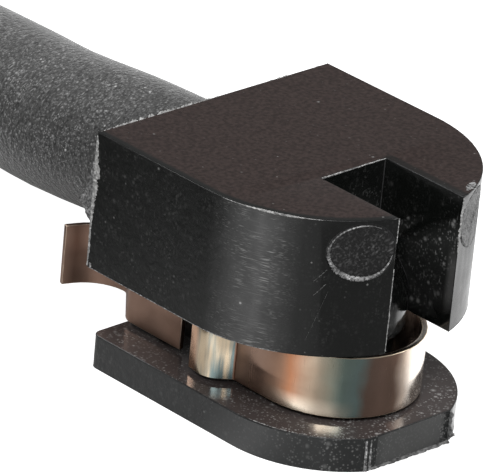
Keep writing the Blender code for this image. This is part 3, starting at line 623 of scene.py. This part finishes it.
def finish_parts(name, shape, material):
    """Makes an object of the collected fins or patches."""
    bmesh.ops.recalc_face_normals(shape, faces=shape.faces)
    mesh = bpy.data.meshes.new(name)
    shape.to_mesh(mesh)
    shape.free()
    mesh.materials.append(material)
    mesh.shade_smooth()
    mesh.set_sharp_from_angle(angle=math.radians(60.0))
    made = new_object(name, mesh)
    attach(made, "root")
    return made


left, right, up, back = Vector((-1, 0, 0)), Vector((1, 0, 0)), Vector((0, 0, 1)), Vector((0, 1, 0))
block_half = 5.5 * MM
rim_z = block_top - 0.03 * MM
back_rim_y = back_y - 0.03 * MM
corner_top = (-block_half + 0.05 * MM, back_rim_y, block_top - 0.12 * MM)
corner_foot = (-block_half + 0.05 * MM, back_rim_y, block_bottom + 0.05 * MM)
corner_line = straight(corner_top, corner_foot, 110)
fin_stops = [(0.0, 0.01), (0.85, 0.14), (1.6, 0.25), (2.1, 0.45), (2.7, 0.70)]
fin_stops += [(3.1, 0.40), (3.25, 0.12), (4.0, 0.07), (5.0, 0.03)]
flash_strip(dull_parts, corner_line, back, left, fin_stops, 0.10, 0.10)
scraped_stops = [(0.0, 0.01), (0.35, 0.10), (1.3, 0.22), (2.1, 0.20), (2.8, 0.12)]
scraped_stops += [(3.2, 0.10), (3.6, 0.04), (4.2, 0.09), (4.9, 0.03)]
face_line = [p + left * 0.045 * MM + back * 0.02 * MM for p in corner_line]
flash_strip(flash_parts, face_line, -back, left, scraped_stops, 0.04, 0.25)
back_start = (-block_half + 0.15 * MM, back_rim_y, rim_z)
back_line = straight(back_start, (block_half - 0.1 * MM, back_rim_y, rim_z), 260)
back_stops = [(0.0, 0.02), (0.5, 0.05), (1.6, 0.07), (4.6, 0.06), (5.6, 0.03), (7.0, 0.015)]
back_stops += [(8.5, 0.04), (10.8, 0.02)]
flash_strip(flash_parts, back_line, (up + back * 0.5).normalized(), back, back_stops, 0.05, 0.55)


def nose_point(x, z, lift=0.0):
    """A point on the block's round nose."""
    return Vector((x, nose_centre_y - math.sqrt((nose_radius + lift) ** 2 - x * x), z))


def nose_normal(place):
    """The nose's outward direction at a point."""
    return Vector((place.x, place.y - nose_centre_y, 0.0)).normalized()


def down_the_nose(x, drop, length, steps):
    """Points down the nose, from a drop below the block's top."""
    return [nose_point(x, block_top - (drop + length * i / steps) * MM) for i in range(steps + 1)]


# A rim of flash stands round most of the left pin mark.
mark_radius = 1.055 * MM
mark_x, mark_z = 2.62 * MM, block_top - 1.18 * MM
rim_radius = mark_radius - 0.07 * MM
rim_start, rim_turn, rim_steps = 60.0, 290.0, 260
rim = []
for i in range(rim_steps + 1):
    t = math.radians(rim_start + rim_turn * i / rim_steps)
    rim.append(nose_point(-mark_x + rim_radius * math.cos(t), mark_z + rim_radius * math.sin(t)))


def from_mark(place):
    """The direction away from the left mark's centre."""
    return (up * (place.z - mark_z) + right * (place.x + mark_x)).normalized()


rim_stops = [(0.0, 0.01), (0.7, 0.02), (2.0, 0.05), (3.4, 0.06), (4.6, 0.05), (5.0, 0.02), (5.4, 0.01)]
rim_widths = [(0.0, 0.02), (0.7, 0.04), (1.9, 0.07), (2.4, 0.15), (3.1, 0.20), (4.2, 0.15)]
rim_widths += [(4.9, 0.08), (5.4, 0.03)]
flash_strip(dull_parts, rim, nose_normal, from_mark, rim_stops, rim_widths, 0.45)

# A thin skin runs down the slot's left corner, and three scratches lead away from the mark.
corner_x = -slot_half - 0.01 * MM
slot_line = down_the_nose(corner_x, 1.9, 3.1, 60)
slot_stops = [(0.0, 0.02), (1.6, 0.03), (3.1, 0.015)]
flash_strip(flash_parts, slot_line, nose_normal, right, slot_stops, 0.03, 0.5)
scratch_ends = [(-3.6, 7.6, -3.92, 7.1), (-3.6, 7.05, -3.88, 6.6), (-3.52, 6.8, -3.96, 4.95)]
scratch_stops = [(0.0, 0.006), (0.4, 0.006), (1.9, 0.002)]
for x1, z1, x2, z2 in scratch_ends:
    shares = [i / 20 for i in range(21)]
    scratch = [nose_point((x1 + (x2 - x1) * t) * MM, (z1 + (z2 - z1) * t) * MM) for t in shares]
    flash_strip(dull_parts, scratch, nose_normal, up, scratch_stops, 0.012, 0.6)

# The slot's rim at its end, its left corner's top, and the chipped right prong.
slot_end_y = slot_end + 0.01 * MM
slot_rim = straight((-slot_half + 0.02 * MM, slot_end_y, rim_z), (slot_half, slot_end_y, rim_z), 90)
slot_rim_stops = [(0.0, 0.05), (1.6, 0.045), (3.0, 0.02)]
flash_strip(flash_parts, slot_rim, (up - back * 0.7).normalized(), back, slot_rim_stops, 0.07, 0.4)
corner_drop = down_the_nose(corner_x, 0.02, 0.9, 24)
drop_stops = [(0.0, 0.05), (0.15, 0.03), (0.9, 0.006)]
flash_strip(flash_parts, corner_drop, nose_normal, right, drop_stops, 0.04, 0.4)
chip_z, chip_depth = block_top - 0.02 * MM, 0.15 * MM
chip_line = [nose_point((1.85 + 1.3 * i / 40) * MM, chip_z, -chip_depth) for i in range(41)]
chip_stops = [(0.0, 0.01), (0.6, 0.04), (1.2, 0.01)]
chip_widths = [(0.0, 0.08), (0.35, 0.3), (0.9, 0.34), (1.3, 0.12)]
flash_strip(dull_parts, chip_line, up, nose_normal, chip_stops, chip_widths, 0.15)
prong_line = down_the_nose(slot_half + 0.02 * MM, 0.05, 2.1, 60)
prong_stops = [(0.0, 0.02), (0.9, 0.06), (1.4, 0.10), (2.1, 0.01)]
flash_strip(flash_parts, prong_line, (-right - back * 0.4).normalized(), back, prong_stops, 0.05, 0.6)

# A broken skin on the flange's rim.
flange_radius, gate_right = 4.5 * MM, 1.95 * MM
flange_y = head_low[1] + math.sqrt(flange_radius**2 - gate_right**2)
dash_radius, dash_z = flange_radius - 0.06 * MM, flange_top - 0.01 * MM
dash_start, dash_turn, dash_steps = 188.0, 52.0, 120
dash_line = []
for i in range(dash_steps + 1):
    t = math.radians(dash_start + dash_turn * i / dash_steps)
    dash_line.append(Vector((dash_radius * math.cos(t), flange_y + dash_radius * math.sin(t), dash_z)))


def from_flange_centre(place):
    """The direction away from the centre of the flange's round end."""
    return Vector((place.x, place.y - flange_y, 0.0)).normalized()


dash_stops = [(0.0, 0.01), (0.5, 0.035), (1.2, 0.012), (1.6, 0.04), (1.9, 0.012), (4.1, 0.006)]
flash_strip(flash_parts, dash_line, up, from_flange_centre, dash_stops, 0.05, 0.8)

# A painted highlight line on the nose's upper edge, a light strip along the block's lower edge as a painted
# highlight, and the block's bright corner.
glint_start, glint_step, glint_points = 8.0, 0.5, 77
glint_line = []
for i in range(glint_points):
    t = math.radians(glint_start + glint_step * i)
    glint_line.append(nose_point(-nose_radius * math.cos(t), block_top - 0.02 * MM))
glint_stops = [(0.0, 0.006), (1.8, 0.02), (3.6, 0.006)]
glint_widths = [(0.0, 0.01), (1.0, 0.03), (1.6, 0.08), (2.4, 0.08), (3.0, 0.03), (3.7, 0.008)]
flash_strip(flash_parts, glint_line, nose_normal, up, glint_stops, glint_widths, 0.3)
# Painted highlight: a light strip stands on the block's lower edge, where the rounded edge catches the
# light.
low_z, low_step = block_bottom + 0.02 * MM, 1.5
low_edge_highlight = straight((-block_half, back_y - 0.1 * MM, low_z), (-block_half, nose_centre_y, low_z), 60)
low_edge_highlight += [nose_point(-block_half * math.cos(math.radians(low_step * i)), low_z) for i in range(1, 24)]
low_stops = [(0.0, 0.02), (2.0, 0.012), (6.0, 0.016), (8.0, 0.008)]


def block_side(place):
    """The outward direction on the block's left side and nose."""
    return nose_normal(place) if place.y < nose_centre_y else left


flash_strip(dull_parts, low_edge_highlight, block_side, up, low_stops, 0.03, 0.6)
bright_y = back_y - 0.16 * MM
bright_foot = (-block_half, bright_y, block_bottom + 0.06 * MM)
bright_corner = straight(bright_foot, (-block_half, bright_y, block_bottom + 0.2 * MM), 6)
flash_strip(flash_parts, bright_corner, left, back, [(0.0, 0.03), (0.14, 0.05)], 0.1, 0.2)

# The gate: two ribs where it met the flange, a torn burr on its right and a torn lower edge.
gate_y, gate_top, gate_foot = head_low[1], 1.2 * MM, 0.06 * MM
torn_parts = bmesh.new()
rib_stops = [(0.0, 0.03), (0.5, 0.06), (1.1, 0.10)]
for rib_x, rib_width in ((-2.05 * MM, 0.07), (-1.85 * MM, 0.10)):
    rib_y = gate_y + 0.03 * MM
    rib = straight((rib_x, rib_y, gate_top), (rib_x, rib_y, gate_foot), 40)
    flash_strip(dull_parts, rib, -back, right, rib_stops, rib_width, 0.12)
burr_y = gate_y + 0.02 * MM
burr_line = straight((gate_right, burr_y, gate_top), (gate_right, burr_y, 0.15 * MM), 30)
burr_stops = [(0.0, 0.05), (0.15, 0.17), (0.35, 0.08), (0.55, 0.06), (0.7, 0.22), (0.9, 0.24), (1.05, 0.1)]
flash_strip(torn_parts, burr_line, (right - back).normalized(), back, burr_stops, 0.2, 0.3)
torn_y = gate_y + 0.01 * MM
torn_edge = straight((-1.8 * MM, torn_y, gate_foot), (gate_right, torn_y, gate_foot), 60)
torn_stops = [(0.0, 0.05), (1.0, 0.11), (2.6, 0.14), (3.8, 0.15)]
flash_strip(torn_parts, torn_edge, -back, up, torn_stops, 0.10, 0.35)
finish_parts("moulding_flash", flash_parts, flash_nylon)
finish_parts("dull_flash", dull_parts, dull_flash)
finish_parts("torn_gate", torn_parts, rough_patch)


def mark_patch(name, sign, material, ragged, height):
    """A disc that fills a pin mark to the nose's surface, with an uneven skin."""
    ring_count, side_count, sunk = 24, 72, 0.02
    shape, rings = bmesh.new(), []
    for k in range(ring_count + 1):
        ring, near_rim, at_rim = [], k > ring_count - 4, k == ring_count
        for i in range(side_count):
            t = 2 * math.pi * i / side_count
            reach = mark_radius * (k / ring_count) * (1.0 + (ragged * math.sin(3 * t) if near_rim else 0.0))
            reach *= 1.0 + (ragged * chance.uniform(-1, 1) if at_rim else 0.0)
            lift = (-sunk + height * chance.random() - (height + sunk) * at_rim) * MM
            at_x = sign * mark_x + reach * math.cos(t)
            ring.append(shape.verts.new(nose_point(at_x, mark_z + reach * math.sin(t), lift)))
        rings.append(ring)
    for a, b in zip(rings, rings[1:]):
        for i in range(side_count):
            n = (i + 1) % side_count
            shape.faces.new((a[i], a[n], b[n], b[i]))
    bmesh.ops.remove_doubles(shape, verts=shape.verts, dist=0.0005 * MM)
    return finish_parts(name, shape, material)


torn_disc, tree, shader = start_material("torn_disc", 0.5)
frost = scaled(tree, clouds(tree, 0.14, 5.0), 0.6, product(tree, clouds(tree, 0.6), 0.4))
grain = clouds(tree, 0.12, 5.0)
dress_nylon(shader, frost, (0.10, 0.10, 0.10), (0.34, 0.34, 0.34), grain, 0.7, 0.03 * MM)
dusty_disc, tree, shader = start_material("dusty_disc", 0.5)
streaks = place_group(tree, scuffs, Turn=(0.0, 0.6, 0.0), Along=0.5, Across=0.1, Share=0.4, Waver=0.6)
film = product(tree, clouds(tree, 0.09, 3.0, 0.5, 0.75), 0.45)
film = largest(tree, film, product(tree, streaks, 0.7))
film = product(tree, film, scaled(tree, clouds(tree, 0.8), 0.7, 0.3))
grain = clouds(tree, 0.1, 4.0)
dress_nylon(shader, film, (0.007, 0.007, 0.007), (0.22, 0.22, 0.22), grain, 0.5, 0.02 * MM)
mark_patch("left_mark_patch", -1.0, dusty_disc, 0.0, 0.006)
mark_patch("right_mark_patch", 1.0, torn_disc, 0.05, 0.03)


# Spring clip: one strip of polished copper alloy bent round the neck. A tongue is lanced out
# of each leg and curled, and the legs' ends flare out behind the head.
clip_metal, tree, shader = start_material("clip_copper_alloy", 0.16, 1.0)
neck_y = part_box("spring_clip")[0][1] + 3.05 * MM
x, y, z = own_place(tree)
turn = calc(tree, "ARCTAN2", x, calc(tree, "SUBTRACT", neck_y, y))
turn = scaled(tree, calc(tree, "SUBTRACT", clouds(tree, 1.5), 0.5), 0.07, turn)
# Painted reflections: the ring's colour changes with its angle round the neck, from brown through orange,
# cream and teal to brown, with a painted white highlight on its right.
reflection_tints = add_node(tree, "ShaderNodeValToRGB", {"Fac": ramp(tree, turn, -math.pi, math.pi)})
reflection_stops = [
    (-180, (0.40, 0.26, 0.20)),
    (-100, (0.44, 0.29, 0.22)),
    (-86, (0.42, 0.25, 0.17)),
    (-77, (0.50, 0.23, 0.125)),
    (-69, (0.46, 0.29, 0.20)),
    (-60, (0.60, 0.47, 0.35)),
    (-50, (0.39, 0.38, 0.30)),
    (-41, (0.28, 0.37, 0.33)),
    (-31, (0.27, 0.365, 0.35)),
    (-23, (0.27, 0.184, 0.147)),
    (-13, (0.32, 0.21, 0.165)),
    (-4, (0.26, 0.17, 0.13)),
    (5, (0.80, 0.66, 0.55)),
    (12, (1.0, 0.93, 0.84)),
    (35, (0.95, 0.88, 0.80)),
    (60, (0.50, 0.36, 0.28)),
    (180, (0.30, 0.19, 0.14)),
]
for i, (angle, tint) in enumerate(reflection_stops):
    spot = (angle + 180) / 360
    stops = reflection_tints.color_ramp.elements
    stop = stops[i] if i < 2 else stops.new(spot)
    stop.position = spot
    stop.color = (*tint, 1.0)
# Painted highlight: pale gold along the ring's lower rim at the front left.
low_rim_highlight = below(tree, z, 1.85 * MM, 0.25 * MM)
low_rim_highlight = product(tree, low_rim_highlight, within(tree, turn, -1.5, -0.8, 0.25))
ring_reflection = blend(tree, low_rim_highlight, reflection_tints.outputs[0], (1.0, 0.86, 0.70))

# The tongues carry painted reflections in stripes along the strip, and their rolled ends are plain.
on_tongue = above(tree, calc(tree, "ABSOLUTE", x), 3.09 * MM, 0.01 * MM)
on_tongue = product(tree, on_tongue, below(tree, y, 4.0 * MM, 0.1 * MM))
rolled = above(tree, y, -0.5 * MM, 0.12 * MM)
place = add_node(tree, "ShaderNodeTexCoord").outputs["Object"]
drawn_place = calc_vector(tree, "MULTIPLY", place, (1.0, 1.0, 0.12))
reflection_bands = add_node(tree, "ShaderNodeTexNoise", {"Vector": drawn_place, "Scale": 2200.0, "Detail": 3.0})
reflection_bands = ramp(tree, reflection_bands.outputs[0], 0.46, 0.62)
reflection_stripes = blend(tree, reflection_bands, (0.22, 0.29, 0.29), (0.86, 0.70, 0.50))
tongue_tint = blend(tree, rolled, reflection_stripes, (0.96, 0.62, 0.43))
stain = blend(tree, product(tree, clouds(tree, 1.2), 0.35), (1.0, 1.0, 1.0), (0.62, 0.55, 0.50))
metal = blend(tree, 1.0, blend(tree, on_tongue, ring_reflection, tongue_tint), stain, "MULTIPLY")
feed(shader, "Base Color", metal)

# The strip is finely drawn, duller on its legs, and leans outward near its lower edge.
drawn = place_group(tree, scuffs, Turn=(0.0, math.pi / 2, 0.0), Along=2.5, Across=0.035, Share=0.5)
legs_y, legs_soft = neck_y + 1.2 * MM, 0.5 * MM
legs = product(tree, above(tree, y, legs_y, legs_soft), flipped(tree, on_tongue))
rough = scaled(tree, clouds(tree, 1.0, 4.0), 0.08, 0.13)
for layer, share in ((drawn, 0.12), (legs, 0.22)):
    rough = scaled(tree, layer, share, rough)
feed(shader, "Roughness", rough)
flare_start, flare_end = 2.35 * MM, 1.42 * MM
flare = ramp(tree, z, flare_start, flare_end)
add_bump(shader, product(tree, flare, flare), 1.0, 0.18 * MM)
add_bump(shader, drawn, 0.12, 0.01 * MM)
# Painted highlight: the cut edges are pale gold, and brown on the legs.
clip_edge_highlight, tree, shader = start_material("clip_cut_edge_highlight", 0.3, 1.0)
on_legs = above(tree, own_place(tree)["Y"], legs_y, legs_soft)
on_legs = product(tree, on_legs, scaled(tree, clouds(tree, 0.4), 0.3, 0.7))
feed(shader, "Base Color", blend(tree, on_legs, (1.0, 0.84, 0.64), (0.42, 0.30, 0.24)))
clip = dressed_copy("spring_clip", clip_metal, clip_edge_highlight, 0.03 * MM)


# Cores, crimps and sensing wire: they lie inside the moulding and nothing shows them, so they
# keep the CAD's form and sharp edges, in the colours that such wires have.
def plain_finish(nodes, color, roughness, metallic, patch, wear, edge=0.0):
    """A plain finish with slightly cloudy colour and gloss, on copies of CAD solids."""
    made, tree, shader = start_material(nodes[0].rsplit("_", 1)[0] + "_surface", roughness, metallic)
    worn = tuple(min(1.0, c * wear) for c in color)
    feed(shader, "Base Color", blend(tree, clouds(tree, patch), color, worn))
    feed(shader, "Roughness", scaled(tree, clouds(tree, patch / 3, 4.0), 0.12, roughness - 0.06))
    add_bump(shader, clouds(tree, patch / 8, 4.0), 0.2, 0.02 * MM)
    pieces = []
    for node in nodes:
        piece = dressed_copy(node, made, made, edge)
        pieces.append(piece)
    return pieces


copper, tinned = (0.72, 0.38, 0.24), (0.62, 0.58, 0.50)
white_core, brown_core = (0.35, 0.30, 0.22), (0.12, 0.06, 0.04)
plain_finish(["sensing_loop"], (0.55, 0.22, 0.10), 0.3, 1.0, 0.8, 0.7)
plain_finish(["loop_crimp_left", "loop_crimp_right"], tinned, 0.3, 1.0, 0.8, 0.8)
plain_finish(["head_conductor_left", "head_conductor_right"], copper, 0.35, 1.0, 0.8, 0.8)
plain_finish(["head_insulation_left"], white_core, 0.5, 0.0, 1.5, 0.8)
plain_finish(["head_insulation_right"], brown_core, 0.5, 0.0, 1.5, 0.8)


# Plug: a two pin housing with an open hood, a rear cap, a seal, a lock plate and its terminals.
# The photograph doesn't show it: such leads end in one.
edge = 0.08 * MM
plug_pieces = plain_finish(["plug_housing"], (0.018, 0.018, 0.019), 0.42, 0.0, 5.0, 1.5, edge)
plug_pieces += plain_finish(["plug_rear_cap"], (0.022, 0.022, 0.023), 0.45, 0.0, 5.0, 1.5, edge)
plug_pieces += plain_finish(["plug_seal"], (0.42, 0.12, 0.05), 0.55, 0.0, 3.0, 0.8)
plug_pieces += plain_finish(["plug_terminal_lock"], (0.30, 0.31, 0.32), 0.45, 0.0, 3.0, 0.9, 0.05 * MM)
plug_pieces += plain_finish(["plug_terminal_left", "plug_terminal_right"], tinned, 0.28, 1.0, 1.5, 0.85)
plug_pieces += plain_finish(["plug_insulation_left"], white_core, 0.5, 0.0, 1.5, 0.8)
plug_pieces += plain_finish(["plug_insulation_right"], brown_core, 0.5, 0.0, 1.5, 0.8)
plug_pieces += plain_finish(["plug_conductor_left", "plug_conductor_right"], copper, 0.35, 1.0, 0.8, 0.8)


# Studio: a white table in a white room, with plain soft lamps. In reflections only, the table glows in a
# bright stretch on the right and a dimmer one on the left, and is darker ahead of the nose: painted
# reflections.
table_half = 3.0
table_corners = [(-table_half, -table_half), (table_half, -table_half)]
table_corners += [(table_half, table_half), (-table_half, table_half)]
table_mesh = bpy.data.meshes.new("table")
table_mesh.from_pydata([(*corner, 0.0) for corner in table_corners], [], [(0, 1, 2, 3)])
table = new_object("table", table_mesh)
table_white, tree, shader = start_material("white_table", 0.8)
shader.inputs["Specular IOR Level"].default_value = 0.0
shader.inputs["Emission Color"].default_value = (1.0, 1.0, 1.0, 1.0)
rays = add_node(tree, "ShaderNodeLightPath").outputs
x, y, z = own_place(tree)
head_y = -3.6 * MM
from_right = calc(tree, "ARCTAN2", calc(tree, "SUBTRACT", y, head_y), x)
from_left = calc(tree, "ARCTAN2", calc(tree, "SUBTRACT", head_y, y), calc(tree, "SUBTRACT", 0.0, x))
right_light = between(tree, from_right, (-0.92, -0.66), (1.1, 1.6))
left_light = between(tree, from_left, (-0.50, -0.02), (0.08, 0.52))
dark_reflection_share = product(tree, between(tree, from_left, (0.70, 0.95), (1.90, 2.20)), rays["Is Glossy Ray"])
feed(shader, "Base Color", blend(tree, dark_reflection_share, (0.5, 0.5, 0.5), (0.2, 0.2, 0.2)))
reflected = largest(tree, right_light, product(tree, left_light, 0.75), 0.06)
reflected = product(tree, reflected, rays["Is Glossy Ray"])
seen_white = product(tree, rays["Is Camera Ray"], 0.95)
feed(shader, "Emission Strength", largest(tree, seen_white, reflected))
table_mesh.materials.append(table_white)

world = bpy.data.worlds.new("white_room")
world.use_nodes = True
bpy.context.scene.world = world
tree = world.node_tree
rays = add_node(tree, "ShaderNodeLightPath").outputs
seen = largest(tree, rays["Is Camera Ray"], rays["Is Transmission Ray"])
reflected = product(tree, rays["Is Glossy Ray"], 0.22)
ambient = product(tree, flipped(tree, rays["Is Glossy Ray"]), 0.35)
room = tree.nodes["Background"]
room.inputs["Color"].default_value = (1.0, 1.0, 1.0, 1.0)
feed(room, "Strength", largest(tree, seen, reflected, ambient))


def soft_lamp(name, place, size, power):
    """A square soft box that faces the head."""
    data = bpy.data.lights.new(name, "AREA")
    data.shape = "SQUARE"
    data.size = size
    data.energy = power
    lamp = bpy.data.objects.new(name, data)
    bpy.context.scene.collection.objects.link(lamp)
    lamp.location = place
    lamp.rotation_euler = (-Vector(place)).to_track_quat("-Z", "Y").to_euler()


soft_lamp("main_softbox", (-0.35, -0.30, 0.60), 0.35, 4.0)
soft_lamp("side_softbox", (0.55, -0.35, 0.40), 0.30, 0.9)
soft_lamp("back_softbox", (-0.10, 0.60, 0.50), 0.40, 2.0)
